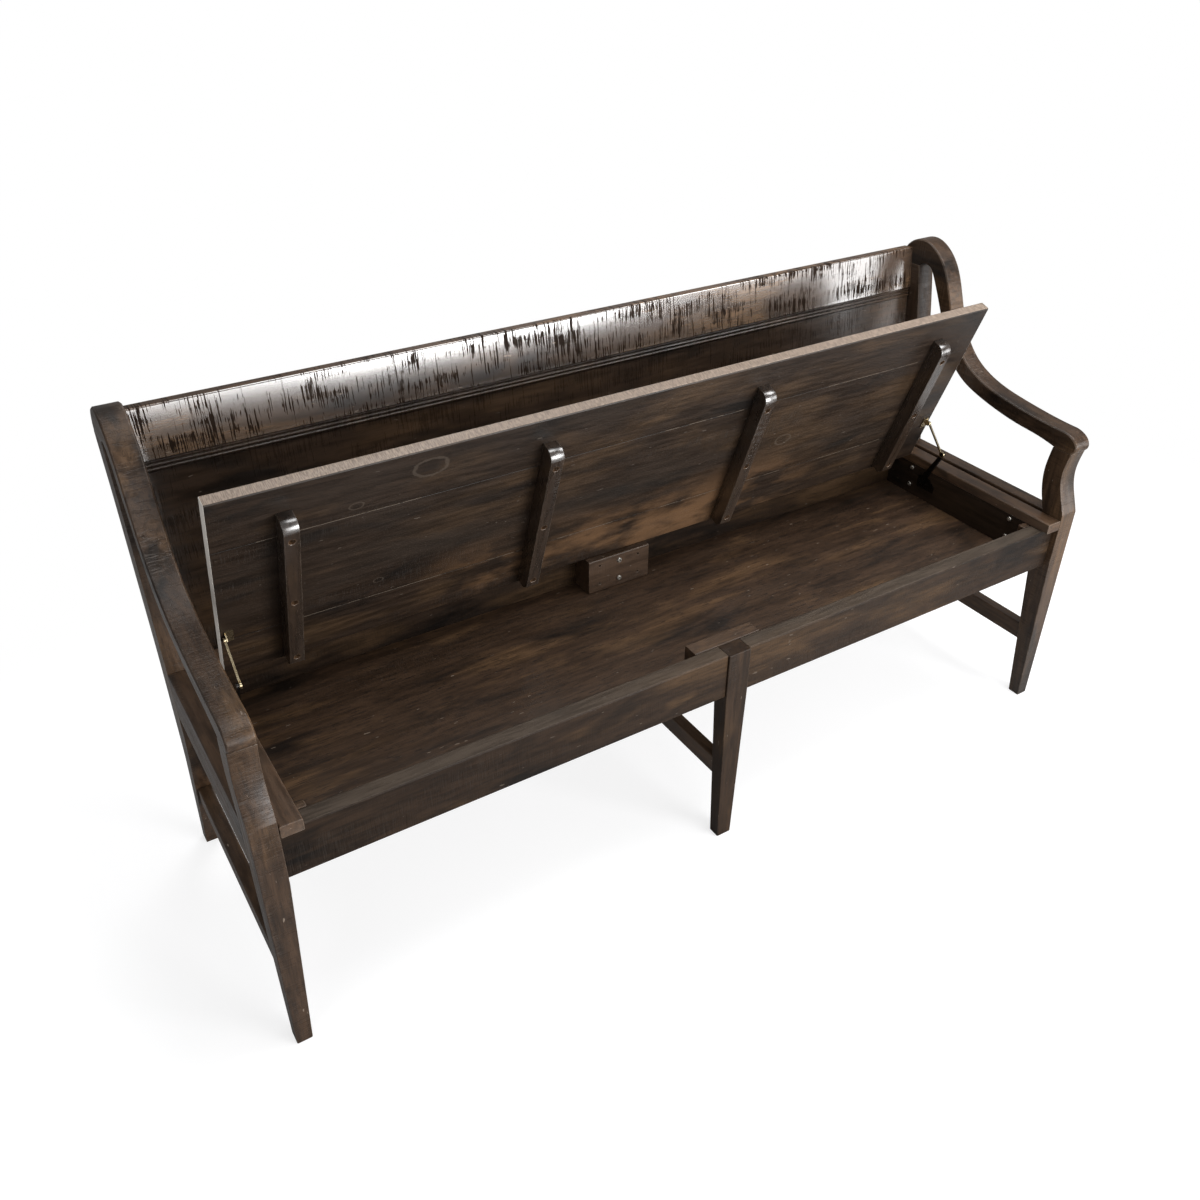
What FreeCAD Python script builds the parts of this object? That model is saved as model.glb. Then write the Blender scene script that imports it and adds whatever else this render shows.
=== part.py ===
import FreeCAD, Part
import Sketcher
import math
import os

# Settle bench with a lift-up seat over a shallow storage box.
# X runs along the bench, Y from the front to the back, Z up; millimetres.
# The front face of the front legs is Y = 0 while the pieces are drawn, and
# every piece is set back by half the depth, so the part is centred on Z.

Vec = FreeCAD.Vector
Rot = FreeCAD.Rotation
Place = FreeCAD.Placement

SIZES = [
    ("overall_width", 1740.0),
    ("overall_depth", 546.0),
    ("overall_height", 922.0),
    ("seat_top", 467.0),
    ("fit", 0.3),
    ("saw_step", 0.25),
    ("end_thick", 42.0),
    ("foot", 26.0),
    ("foot_arris", 2.0),
    ("front_leg_depth", 49.0),
    ("rear_leg_depth", 59.0),
    ("rear_leg_set", 51.0),
    ("post_top_depth", 55.0),
    ("knee_height", 215.0),
    ("lid_thick", 22.0),
    ("lid_side_gap", 3.0),
    ("lid_front_set", 4.0),
    ("rail_height", 93.0),
    ("rail_thick", 32.0),
    ("rail_set", 13.0),
    ("centre_leg_width", 47.0),
    ("centre_foot_width", 31.0),
    ("centre_leg_set", 9.0),
    ("box_length", 405.0),
    ("floor_thick", 12.0),
    ("floor_rise", 6.0),
    ("floor_tongue", 8.0),
    ("apron_thick", 32.0),
    ("apron_height", 91.0),
    ("stretcher_thick", 24.0),
    ("stretcher_height", 39.0),
    ("stretcher_level", 141.0),
    ("tenon_thick", 10.0),
    ("tenon_long", 15.0),
    ("tenon_shoulder", 8.0),
    ("arm_level", 650.0),
    ("arm_nose_set", 10.0),
    ("arm_thick", 38.0),
    ("arm_rear_thick", 30.0),
    ("crook_radius", 56.0),
    ("arm_arris", 2.5),
    ("dowel", 12.0),
    ("dowel_long", 18.0),
    ("edge_round", 1.5),
    ("strip_width", 35.0),
    ("hinge_line", 412.0),
    ("hinge_strip_depth", 54.0),
    ("back_rake", 6.9),
    ("back_set", 55.7),
    ("panel_thick", 14.0),
    ("panel_rise", 355.0),
    ("board_height", 86.0),
    ("board_thick", 25.0),
    ("board_proud", 6.0),
    ("board_round", 4.0),
    ("board_arris", 2.0),
    ("board_groove", 10.0),
    ("reed_height", 20.4),
    ("reed_count", 3.0),
    ("reed_base", 0.8),
    ("reed_bead", 2.5),
    ("block_length", 142.0),
    ("block_thick", 32.0),
    ("rear_block_thick", 50.0),
    ("corner_block", 20.0),
    ("cleat_length", 345.0),
    ("cleat_width", 25.0),
    ("cleat_thick", 32.0),
    ("cleat_start", 11.0),
    ("cleat_end_set", 113.0),
    ("cleat_nose", 18.0),
    ("cleat_ramp", 11.0),
    ("cleat_heel", 22.0),
    ("cleat_screw_low", 37.0),
    ("cleat_screw_mid", 180.0),
    ("cleat_screw_high", 322.0),
    ("cleat_bore", 11.0),
    ("cleat_bore_deep", 13.0),
    ("screw_head", 8.0),
    ("screw_head_high", 2.4),
    ("screw_shank", 4.0),
    ("screw_long", 32.0),
    ("lid_open", 71.0),
    ("barrel", 7.0),
    ("knuckles", 3.0),
    ("pin", 3.0),
    ("leaf_thick", 1.5),
    ("leaf_long", 60.0),
    ("leaf_drop", 18.0),
    ("hinge_end_gap", 12.0),
    ("bolt_head", 11.0),
    ("bolt_head_high", 3.0),
    ("bolt_shank", 6.0),
    ("bolt_socket", 4.0),
    ("bolt_pitch", 42.0),
    ("bolt_low", 36.0),
    ("frame_bolt_front", 97.0),
    ("frame_bolt_rear", 380.0),
    ("frame_bolt_long", 66.0),
    ("block_bolt_deep", 22.0),
    ("stay_pivot_y", 345.0),
    ("stay_pivot_z", 415.0),
    ("stay_elbow_y", 297.0),
    ("stay_elbow_z", 504.0),
    ("stay_lid_reach", 106.5),
    ("stay_lid_drop", 7.3),
    ("stay_plate", 2.0),
    ("stay_foot_wide", 14.0),
    ("stay_foot_long", 24.0),
    ("stay_pin", 4.0),
    ("stay_elbow_hole", 9.0),
    ("stay_rod", 4.0),
    ("stay_arm_thick", 5.0),
    ("stay_damper", 16.0),
]

doc = FreeCAD.newDocument("settle_bench")
sheet = doc.addObject("Spreadsheet::Sheet", "Sizes")
V = {}
for row, (alias, value) in enumerate(SIZES, start=1):
    sheet.set("A%d" % row, alias)
    sheet.set("B%d" % row, "%g" % value)
    sheet.setAlias("B%d" % row, alias)
    V[alias] = value
doc.recompute()

fit = V["fit"]
half = V["overall_width"] / 2
depth = V["overall_depth"]
height = V["overall_height"]
end_in = half - V["end_thick"]
rail_top = V["seat_top"] - V["lid_thick"]
rail_low = rail_top - V["rail_height"]
rail_front = V["rail_set"]
rail_back = rail_front + V["rail_thick"]
box_rear = rail_back + V["box_length"]
rear_rail_back = box_rear + V["rail_thick"]
floor_low = rail_low + V["floor_rise"]
floor_top = floor_low + V["floor_thick"]
side_out = end_in - 2.0
side_in = side_out - V["rail_thick"]
strip_out = end_in - 1.0
strip_in = strip_out - V["strip_width"]
lid_half = strip_in - V["lid_side_gap"]
axis_y = V["hinge_line"]
axis_z = V["seat_top"] + V["barrel"] / 2 - 1.0
post_back = depth - V["rear_leg_set"]
post_front = post_back - V["rear_leg_depth"]
joint_z = height - V["crook_radius"]
post_top_front = depth - V["post_top_depth"]
apron_low = V["seat_top"] - V["apron_height"]
stretch_low = V["stretcher_level"]
stretch_top = stretch_low + V["stretcher_height"]
stretch_out = half - 4.0
stretch_in = stretch_out - V["stretcher_thick"]
strip_rear = axis_y + V["leaf_thick"] + fit + V["hinge_strip_depth"]


def body(label, origin=(0.0, 0.0, 0.0), rotation=None):
    """A named piece, drawn with the front plane at Y = 0."""
    piece = doc.addObject("PartDesign::Body", label)
    piece.Label = label
    base = Vec(origin[0], origin[1] - depth / 2, origin[2])
    piece.Placement = Place(base, rotation or Rot())
    return piece


def origin_plane(piece, role):
    for feature in piece.Origin.OriginFeatures:
        if feature.Role == role:
            return feature
    raise ValueError(role)


def pt(a, b):
    return Vec(a, b, 0)


def curve(points, start=None, end=None):
    """A smooth sawn curve through the given points, in tangent arcs."""
    spline = Part.BSplineCurve()
    options = {"Points": [pt(*p) for p in points]}
    if start is not None and end is not None:
        options["InitialTangent"] = pt(*start).normalize()
        options["FinalTangent"] = pt(*end).normalize()
        options["Scale"] = False
    spline.interpolate(**options)
    return spline.toBiArcs(V["saw_step"])


def chain(*steps):
    """Lines through bare points, with arcs where a step is a curve."""
    flat = []
    for step in steps:
        flat.extend(step if isinstance(step, list) else [step])
    edges = []
    last = None
    first = None
    for step in flat:
        if isinstance(step, tuple):
            here = pt(*step)
            if last is not None and last.distanceToPoint(here) > 1e-6:
                edges.append(Part.LineSegment(last, here))
            last = here
            first = first or here
        else:
            begin = step.value(step.FirstParameter)
            if last is not None and last.distanceToPoint(begin) > 1e-6:
                edges.append(Part.LineSegment(last, begin))
            edges.append(step)
            last = step.value(step.LastParameter)
            first = first or begin
    if last.distanceToPoint(first) > 1e-6:
        edges.append(Part.LineSegment(last, first))
    return edges


def rect(a0, b0, a1, b1):
    return chain((a0, b0), (a1, b0), (a1, b1), (a0, b1))


def disc(a, b, radius):
    return [Part.Circle(pt(a, b), Vec(0, 0, 1), radius)]


def bore(a, b, radius, sides=6):
    """A hidden hole in flats, clear of a round shank of this radius."""
    corner = radius / math.cos(math.pi / sides)
    turns = [2 * math.pi * k / sides for k in range(sides)]
    return chain(*[(a + corner * math.cos(turn), b + corner * math.sin(turn))
                   for turn in turns])


def arc(a, b, radius, from_deg, to_deg):
    circle = Part.Circle(pt(a, b), Vec(0, 0, 1), radius)
    return Part.ArcOfCircle(circle, math.radians(from_deg), math.radians(to_deg))


ROLES = {"YZ": "YZ_Plane", "XZ": "XZ_Plane", "XY": "XY_Plane"}


def join_ends(sketch, here, after):
    """Ties two neighbouring edges where they touch."""
    gaps = [(sketch.getPoint(here, a).distanceToPoint(
             sketch.getPoint(after, b)), a, b)
            for a in (2, 1) for b in (1, 2)]
    gap, a, b = min(gaps)
    sketch.addConstraint(Sketcher.Constraint("Coincident", here, a, after, b))


def sketch_on(piece, plane, loops, level):
    """A sketch on one of the piece's own planes, lifted to a level."""
    sketch = piece.newObject("Sketcher::SketchObject", "Outline")
    sketch.AttachmentSupport = [(origin_plane(piece, ROLES[plane]), "")]
    sketch.MapMode = "FlatFace"
    offset = -level if plane == "XZ" else level
    sketch.AttachmentOffset = Place(Vec(0, 0, offset), Rot())
    for loop in loops:
        first = None
        for edge in loop:
            index = sketch.addGeometry(edge, False)
            if first is None:
                first = index
        count = len(loop)
        if count > 1:
            for step in range(count):
                join_ends(sketch, first + step, first + (step + 1) % count)
    sketch.Visibility = False
    return sketch


def prism(piece, plane, loops, low, high, expression=None):
    """Material between two levels along the plane's axis."""
    level = high if plane == "XZ" else low
    sketch = sketch_on(piece, plane, loops, level)
    pad = piece.newObject("PartDesign::Pad", "Pad")
    pad.Profile = sketch
    pad.Length = high - low
    if expression:
        pad.setExpression("Length", expression)
    doc.recompute()
    piece.Tip = pad
    return pad


def cut(piece, plane, loops, low, high):
    """A cut between two levels along the plane's axis."""
    level = high if plane == "XZ" else low
    sketch = sketch_on(piece, plane, loops, level)
    pocket = piece.newObject("PartDesign::Pocket", "Pocket")
    pocket.Profile = sketch
    pocket.Length = high - low
    pocket.Reversed = True
    doc.recompute()
    piece.Tip = pocket
    return pocket


def edge_names(shape, keep):
    return ["Edge%d" % n for n, e in enumerate(shape.Edges, start=1) if keep(e)]


def along(edge, axis):
    if not isinstance(edge.Curve, Part.Line):
        return False
    direction = edge.Curve.Direction
    return abs(abs(getattr(direction, axis)) - 1.0) < 1e-6


def dress(piece, kind, size, keep):
    """Rounds or chamfers the chosen edges of the piece's last feature."""
    base = piece.Tip
    shape = base.Shape
    names = edge_names(shape, keep)
    if not names:
        return None
    feature = piece.newObject("PartDesign::" + kind, kind)
    feature.Base = (base, names)
    if kind == "Fillet":
        feature.Radius = size
    else:
        feature.Size = size
    doc.recompute()
    piece.Tip = feature
    return feature


def ease(piece, axis, size=None):
    """Breaks a board's long arrises."""
    size = V["edge_round"] if size is None else size
    outer = piece.Tip.Shape.BoundBox
    sides = {
        "x": (("y", outer.YMin, outer.YMax), ("z", outer.ZMin, outer.ZMax)),
        "y": (("x", outer.XMin, outer.XMax), ("z", outer.ZMin, outer.ZMax)),
        "z": (("x", outer.XMin, outer.XMax), ("y", outer.YMin, outer.YMax)),
    }[axis]

    def on_corner(edge):
        if not along(edge, axis):
            return False
        middle = edge.CenterOfMass
        for name, low, high in sides:
            value = getattr(middle, name)
            if min(abs(value - low), abs(value - high)) > 1e-4:
                return False
        return True

    return dress(piece, "Chamfer", size, on_corner)


def board(label, x0, x1, y0, y1, z0, z1, grain, expression=None):
    """A plain squared board, its long edges broken."""
    piece = body(label)
    if grain == "x":
        prism(piece, "YZ", [rect(y0, z0, y1, z1)], x0, x1, expression)
    elif grain == "y":
        prism(piece, "XZ", [rect(x0, z0, x1, z1)], y0, y1, expression)
    else:
        prism(piece, "XY", [rect(x0, y0, x1, y1)], z0, z1, expression)
    ease(piece, grain)
    return piece


def mix(a, b, share):
    return a + (b - a) * share


def front_leg_rear(z):
    """Rear face of a tapered front leg at a height."""
    share = min(1.0, z / rail_low)
    return mix(V["foot"], V["front_leg_depth"], share)


def knee_rear_front():
    return mix(depth - V["foot"], post_front, 0.69)


def rear_leg_front(z):
    """Front face of a splayed rear leg below its knee."""
    return mix(depth - V["foot"], knee_rear_front(), z / V["knee_height"])


def end_x(side, near, far):
    """A range across the bench for one end, given for the right end."""
    if side > 0:
        return near, far
    return -far, -near


def taper_inner(piece, side, top_z):
    """Saws the taper off a leg's inner face."""
    inner = end_in * side
    foot_inner = (half - V["foot"]) * side
    spare = -20.0 * side
    loop = chain(
        (inner + spare, -1.0),
        (foot_inner - side * 0.0, -1.0),
        (foot_inner, 0.0),
        (inner, top_z),
        (inner + spare, top_z),
    )
    cut(piece, "XZ", [loop], -50.0, depth + 50.0)


def break_feet(piece):
    low = piece.Tip.Shape.BoundBox.ZMin

    def at_foot(edge):
        box = edge.BoundBox
        return box.ZMax < low + 0.01

    dress(piece, "Chamfer", V["foot_arris"], at_foot)


# Where the arm sits on its front post.
arm_seat = V["arm_level"] - V["arm_thick"] - 2.0
post_nose = V["arm_nose_set"] + 7.0
crease = V["seat_top"] + 11.0
post_seat_rear = post_nose + 45.0


def front_post(side, name):
    """Front leg, running up past the seat into the S-curved arm support."""
    piece = body(name)
    x0, x1 = end_x(side, end_in, half)
    leg = V["front_leg_depth"]
    rise = arm_seat - crease
    front = curve([
        (0.0, crease),
        (15.0, crease + 0.29 * rise),
        (24.0, crease + 0.54 * rise),
        (24.0, crease + 0.72 * rise),
        (post_nose, arm_seat),
    ])
    rear = curve([
        (post_seat_rear, arm_seat),
        (leg + 18.0, arm_seat - 0.26 * rise),
        (leg + 19.0, arm_seat - 0.50 * rise),
        (leg + 13.0, arm_seat - 0.76 * rise),
        (leg, crease - 8.0),
    ])
    outline = chain(
        (0.0, 0.0),
        (0.0, crease),
        front,
        (post_seat_rear, arm_seat),
        rear,
        (leg, rail_low),
        (V["foot"], 0.0),
    )
    prism(piece, "YZ", [outline], x0, x1, "Sizes.end_thick")
    taper_inner(piece, side, rail_low)
    break_feet(piece)
    middle = (x0 + x1) / 2
    seat_mid = (post_nose + post_seat_rear) / 2
    dowel_top = arm_seat + V["dowel_long"]
    prism(piece, "XY", [disc(middle, seat_mid, V["dowel"] / 2)],
          arm_seat - 5.0, dowel_top)
    mortise(piece, side, leg, apron_low, V["seat_top"], "apron", -1)
    mortise(piece, side, front_leg_rear(stretch_low), stretch_low,
            stretch_top, "stretcher", -1)
    return piece


def tenon_span(kind, side):
    if kind == "apron":
        middle = half - V["apron_thick"] / 2
    else:
        middle = (stretch_in + stretch_out) / 2
    return middle * side


def mortise(piece, side, face, low, high, kind, way):
    """The slot that takes a rail's tenon; way points into the post."""
    middle = tenon_span(kind, side)
    wide = V["tenon_thick"] / 2 + fit
    shoulder = V["tenon_shoulder"]
    deep = V["tenon_long"] + fit
    y0 = face + way * deep
    y1 = face - way * 25.0
    loop = rect(min(y0, y1), low + shoulder - fit, max(y0, y1),
                high - shoulder + fit)
    cut(piece, "YZ", [loop], middle - wide, middle + wide)


def rear_leg_outline(front_top, back_top, top_z, tail):
    """Splayed lower leg: front and rear edges up to the rail's height."""
    knee = V["knee_height"]
    front_knee = mix(depth - V["foot"], front_top, 0.69)
    back_knee = mix(depth, back_top, 0.86)
    slope_f = (front_knee - (depth - V["foot"])) / knee
    slope_b = (back_knee - depth) / knee
    front = curve(
        [(front_top, rail_low - 12.0), (front_knee, knee)],
        (0.0, -1.0), (-slope_f, -1.0),
    )
    back = curve(
        [(back_knee, knee), (back_top, rail_low - 12.0)],
        (slope_b, 1.0), (0.0, 1.0),
    )
    return chain(
        *tail,
        (front_top, top_z),
        front,
        (depth - V["foot"], 0.0),
        (depth, 0.0),
        back,
        (back_top, top_z),
    )


def rear_post(side, name):
    """Splayed rear leg and raked back post, sawn from one plank."""
    piece = body(name)
    x0, x1 = end_x(side, end_in, half)
    flat = V["seat_top"] + 3.0
    rise = joint_z - flat
    back = curve([
        (post_back, flat - 30.0),
        (mix(post_back, depth, 0.20), flat + 0.27 * rise),
        (mix(post_back, depth, 0.45), flat + 0.58 * rise),
        (mix(post_back, depth, 0.78), flat + 0.86 * rise),
        (depth, joint_z),
    ], (0.0, 1.0), (0.12, 1.0))
    front = curve([
        (post_top_front, joint_z),
        (mix(post_front, post_top_front, 0.62), flat + 0.70 * rise),
        (mix(post_front, post_top_front, 0.29), flat + 0.36 * rise),
        (post_front, flat),
    ])
    tail = (back, (post_top_front, joint_z), front)
    outline = rear_leg_outline(post_front, post_back, flat, tail)
    prism(piece, "YZ", [outline], x0, x1, "Sizes.end_thick")
    taper_inner(piece, side, rail_low)
    break_feet(piece)
    middle = (x0 + x1) / 2
    wide = V["tenon_thick"] / 2
    inset = V["post_top_depth"] * 0.24
    top_tenon = rect(post_top_front + inset, joint_z - 5.0,
                     depth - inset, joint_z + V["dowel_long"])
    prism(piece, "YZ", [top_tenon], middle - wide, middle + wide)
    mortise(piece, side, post_front, apron_low, V["seat_top"], "apron", 1)
    mortise(piece, side, rear_leg_front(stretch_top), stretch_low,
            stretch_top, "stretcher", 1)
    return piece


ARM_TOP = [(0.0, 0.0), (0.125, 0.012), (0.253, 0.033), (0.385, 0.064),
           (0.527, 0.132), (0.620, 0.225), (0.703, 0.386), (0.784, 0.676),
           (0.836, 0.838), (0.907, 0.950)]
ARM_LOW = [(0.0, 0.0), (0.15, 0.036), (0.283, 0.057), (0.425, 0.099),
           (0.575, 0.167), (0.671, 0.251), (0.740, 0.370), (0.819, 0.578),
           (0.880, 0.770), (0.930, 0.9125), (0.972, 0.990)]


def arm(side, name):
    """Arm: a rounded nose, a long rise and the crook over the back post."""
    piece = body(name)
    x0, x1 = end_x(side, end_in, half)
    nose = V["arm_nose_set"]
    level = V["arm_level"]
    radius = V["crook_radius"]
    crest_y = depth - radius
    top_start = nose + 49.0
    run = crest_y - top_start
    rise = height - level
    top = [(top_start + a * run, level + b * rise) for a, b in ARM_TOP]
    crook = [(crest_y + radius * math.sin(math.radians(angle)),
              joint_z + radius * math.cos(math.radians(angle)))
             for angle in (0.0, 22.5, 45.0, 67.5, 90.0)]
    front = [
        (post_nose, arm_seat),
        (nose + 1.5, arm_seat + 7.0),
        (nose, arm_seat + 16.0),
        (nose + 9.0, level - 10.0),
        (nose + 24.0, level - 2.5),
    ]
    upper = curve(front + top + crook, (-1.0, 1.5), (0.0, -1.0))
    under_end = post_top_front - 16.0
    low_start = post_seat_rear
    low_run = under_end - low_start
    low_rise = joint_z + 7.5 - arm_seat
    low = [(low_start + a * low_run, arm_seat + b * low_rise)
           for a, b in reversed(ARM_LOW)]
    hook = [(post_top_front, joint_z), (under_end + 8.0, joint_z + 6.5),
            (under_end, joint_z + 7.5)]
    under = curve(hook + low)
    outline = chain(
        upper,
        (depth, joint_z),
        (post_top_front, joint_z),
        under,
        (post_nose, arm_seat),
    )
    prism(piece, "YZ", [outline], x0, x1, "Sizes.end_thick")

    def shaped(edge):
        middle = edge.CenterOfMass
        on_side = min(abs(middle.x - x0), abs(middle.x - x1)) < 1e-3
        flat_joint = edge.BoundBox.ZLength < 0.01
        return on_side and not flat_joint

    dress(piece, "Chamfer", V["arm_arris"], shaped)
    middle = (x0 + x1) / 2
    seat_mid = (post_nose + post_seat_rear) / 2
    hole = [bore(middle, seat_mid, V["dowel"] / 2 + fit, 8)]
    cut(piece, "XY", hole, arm_seat - 2.0, arm_seat + V["dowel_long"] + 1.0)
    wide = V["tenon_thick"] / 2 + fit
    inset = V["post_top_depth"] * 0.24 - fit
    slot = rect(post_top_front + inset, joint_z - 5.0,
                depth - inset, joint_z + V["dowel_long"] + 1.0)
    cut(piece, "YZ", [slot], middle - wide, middle + wide)
    return piece


def end_rail(name, side, near, far, low, high, front, rear, kind):
    """A rail between the front and rear posts, with a tenon at each end."""
    piece = body(name)
    x0, x1 = end_x(side, near, far)
    outline = chain(
        (front(low) + fit, low),
        (rear(low) - fit, low),
        (rear(high) - fit, high),
        (front(high) + fit, high),
    )
    prism(piece, "YZ", [outline], x0, x1)
    ease(piece, "y")
    middle = tenon_span(kind, side)
    wide = V["tenon_thick"] / 2
    shoulder = V["tenon_shoulder"]
    deep = V["tenon_long"]
    y0 = front(low) - deep
    y1 = rear(high) + deep
    tongue = rect(y0, low + shoulder, y1, high - shoulder)
    prism(piece, "YZ", [tongue], middle - wide, middle + wide)
    return piece


for side, word in ((-1, "left"), (1, "right")):
    front_post(side, word + "_front_post")
    rear_post(side, word + "_rear_post")
    arm(side, word + "_arm")
    apron = end_rail(word + "_apron", side, half - V["apron_thick"], half,
                     apron_low, V["seat_top"],
                     lambda z: V["front_leg_depth"], lambda z: post_front,
                     "apron")
    end_rail(word + "_stretcher", side, stretch_in, stretch_out,
             stretch_low, stretch_top, front_leg_rear, rear_leg_front,
             "stretcher")
    # Holes for the bolts that hold the box to the end frame.
    holes = []
    for y in (V["frame_bolt_front"], V["frame_bolt_rear"]):
        for z in (rail_low + V["bolt_low"] + 5.0,
                  rail_low + V["bolt_low"] + 5.0 + V["bolt_pitch"]):
            holes.append((y, z))
    inner, outer = end_x(side, side_in - 5.0,
                         side_in + V["frame_bolt_long"] + 1.0)
    for y, z in holes:
        cut(apron, "YZ", [bore(y, z, V["bolt_shank"] / 2 + fit)], inner, outer)
    box_side = body(word + "_box_side")
    s0, s1 = end_x(side, side_in, side_out)
    groove_in, groove_out = end_x(side, side_in - 1.0,
                                  side_in + V["floor_tongue"])
    prism(box_side, "XZ", [rect(s0, rail_low, s1, rail_top)],
          rail_back + fit, box_rear - fit)
    ease(box_side, "y")
    cut(box_side, "XZ", [rect(groove_in, floor_low - fit, groove_out,
                              floor_top + fit)], rail_back - 5, box_rear + 5)
    for y, z in holes:
        cut(box_side, "YZ", [bore(y, z, V["bolt_shank"] / 2 + fit)],
            inner, outer)
    t0, t1 = end_x(side, strip_in, strip_out)
    strip = body(word + "_filler_strip")
    prism(strip, "XZ", [rect(t0, rail_top + fit, t1, V["seat_top"])],
          0.0, strip_rear)
    ease(strip, "y")

# The middle legs and the stretcher that joins them.
leg_half = V["centre_leg_width"] / 2
foot_half = V["centre_foot_width"] / 2


def taper_middle(piece):
    """Saws both sides of a middle leg to its narrower foot."""
    for side in (-1, 1):
        loop = chain(
            (side * (leg_half + 20.0), -1.0),
            (side * foot_half, -1.0),
            (side * foot_half, 0.0),
            (side * leg_half, rail_low),
            (side * (leg_half + 20.0), rail_low),
        )
        cut(piece, "XZ", [loop], -50.0, depth + 50.0)


def centre_front_rear(z):
    share = min(1.0, z / rail_low)
    return mix(V["centre_leg_set"] + 0.92 * V["foot"], rail_back, share)


centre_front = body("centre_front_leg")
prism(centre_front, "YZ", [chain(
    (V["centre_leg_set"], 0.0),
    (V["centre_leg_set"], rail_top),
    (rail_back, rail_top),
    (rail_back, rail_low),
    (centre_front_rear(0.0), 0.0),
)], -leg_half, leg_half, "Sizes.centre_leg_width")
taper_middle(centre_front)
break_feet(centre_front)

rear_leg_back = rear_rail_back + 4.0
centre_rear = body("centre_rear_leg")
prism(centre_rear, "YZ", [
    rear_leg_outline(box_rear, rear_leg_back, rail_top, ()),
], -leg_half, leg_half, "Sizes.centre_leg_width")
taper_middle(centre_rear)
break_feet(centre_rear)


def centre_rear_front(z):
    knee = mix(depth - V["foot"], box_rear, 0.69)
    return mix(depth - V["foot"], knee, z / V["knee_height"])


def centre_mortise(piece, face, way):
    wide = V["tenon_thick"] / 2 + fit
    shoulder = V["tenon_shoulder"]
    y0 = face + way * (V["tenon_long"] + fit)
    y1 = face - way * 25.0
    loop = rect(min(y0, y1), stretch_low + shoulder - fit,
                max(y0, y1), stretch_top - shoulder + fit)
    cut(piece, "YZ", [loop], -wide, wide)


centre_mortise(centre_front, centre_front_rear(stretch_low), -1)
centre_mortise(centre_rear, centre_rear_front(stretch_top), 1)

middle_stretcher = body("centre_stretcher")
wide = V["stretcher_thick"] / 2
prism(middle_stretcher, "YZ", [chain(
    (centre_front_rear(stretch_low) + fit, stretch_low),
    (centre_rear_front(stretch_low) - fit, stretch_low),
    (centre_rear_front(stretch_top) - fit, stretch_top),
    (centre_front_rear(stretch_top) + fit, stretch_top),
)], -wide, wide, "Sizes.stretcher_thick")
ease(middle_stretcher, "y")
wide = V["tenon_thick"] / 2
prism(middle_stretcher, "YZ", [rect(
    centre_front_rear(stretch_low) - V["tenon_long"],
    stretch_low + V["tenon_shoulder"],
    centre_rear_front(stretch_top) + V["tenon_long"],
    stretch_top - V["tenon_shoulder"],
)], -wide, wide, "Sizes.tenon_thick")

# Rails of the storage box, grooved for its floor.
groove_low = floor_low - fit
groove_top = floor_top + fit
tongue = V["floor_tongue"]
for side, word in ((-1, "left"), (1, "right")):
    x0, x1 = end_x(side, leg_half + fit, end_in - fit)
    rail = body("front_rail_" + word)
    prism(rail, "YZ", [rect(rail_front, rail_low, rail_back, rail_top)], x0, x1)
    ease(rail, "x")
    cut(rail, "YZ", [rect(rail_back - tongue, groove_low,
                          rail_back + 2.0, groove_top)], x0 - 1, x1 + 1)
    rear_rail = body("back_rail_" + word)
    prism(rear_rail, "YZ", [rect(box_rear, rail_low, rear_rail_back, rail_top)],
          x0, x1)
    ease(rear_rail, "x")
    cut(rear_rail, "YZ", [rect(box_rear - 2.0, groove_low,
                               box_rear + tongue, groove_top)], x0 - 1, x1 + 1)

# Floor of the box: boards laid along the bench, let into the grooves and
# cut back round the middle legs.
floor_half = side_in + tongue - fit
notch = leg_half + 1.0
floor_front = rail_back - tongue + fit
floor_back = box_rear + tongue - fit
box_floor = body("box_floor")
prism(box_floor, "XY", [chain(
    (-floor_half, floor_front),
    (-notch, floor_front),
    (-notch, rail_back + fit),
    (notch, rail_back + fit),
    (notch, floor_front),
    (floor_half, floor_front),
    (floor_half, floor_back),
    (notch, floor_back),
    (notch, box_rear - fit),
    (-notch, box_rear - fit),
    (-notch, floor_back),
    (-floor_half, floor_back),
)], floor_low, floor_top, "Sizes.floor_thick")

# Blocks inside the box: behind the middle legs and in the front corners.
block_half = V["block_length"] / 2
block_low = floor_top + fit
front_block = board("front_centre_block", -block_half, block_half,
                    rail_back + fit, rail_back + fit + V["block_thick"],
                    block_low, rail_top, "x", "Sizes.block_length")
rear_block = board("rear_centre_block", -block_half, block_half,
                   box_rear - fit - V["rear_block_thick"], box_rear - fit,
                   block_low, rail_top, "x", "Sizes.block_length")
bolt_levels = (rail_low + V["bolt_low"],
               rail_low + V["bolt_low"] + V["bolt_pitch"])
shank_hole = V["bolt_shank"] / 2 + fit
front_bolt_end = rail_back - V["block_bolt_deep"]
rear_bolt_end = box_rear + V["block_bolt_deep"]
for z in bolt_levels:
    hole = [bore(0.0, z, shank_hole)]
    cut(front_block, "XZ", hole, rail_back - 5, rail_back + 90)
    cut(centre_front, "XZ", hole, front_bolt_end - 1, rail_back + 5)
    cut(rear_block, "XZ", hole, box_rear - 90, box_rear + 5)
    cut(centre_rear, "XZ", hole, box_rear - 5, rear_bolt_end + 1)
pilot = V["screw_shank"] / 2
for x in (-45.0, 45.0):
    for z in bolt_levels:
        cut(rear_block, "XZ", [bore(x, z, pilot)],
            box_rear - V["rear_block_thick"] - 2,
            box_rear - V["rear_block_thick"] + 12)
corner = V["corner_block"]
for side, word in ((-1, "left"), (1, "right")):
    x0, x1 = end_x(side, side_in - fit - corner, side_in - fit)
    board(word + "_corner_block", x0, x1, rail_back + fit,
          rail_back + fit + corner * 0.7, block_low, rail_top, "z")

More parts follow.
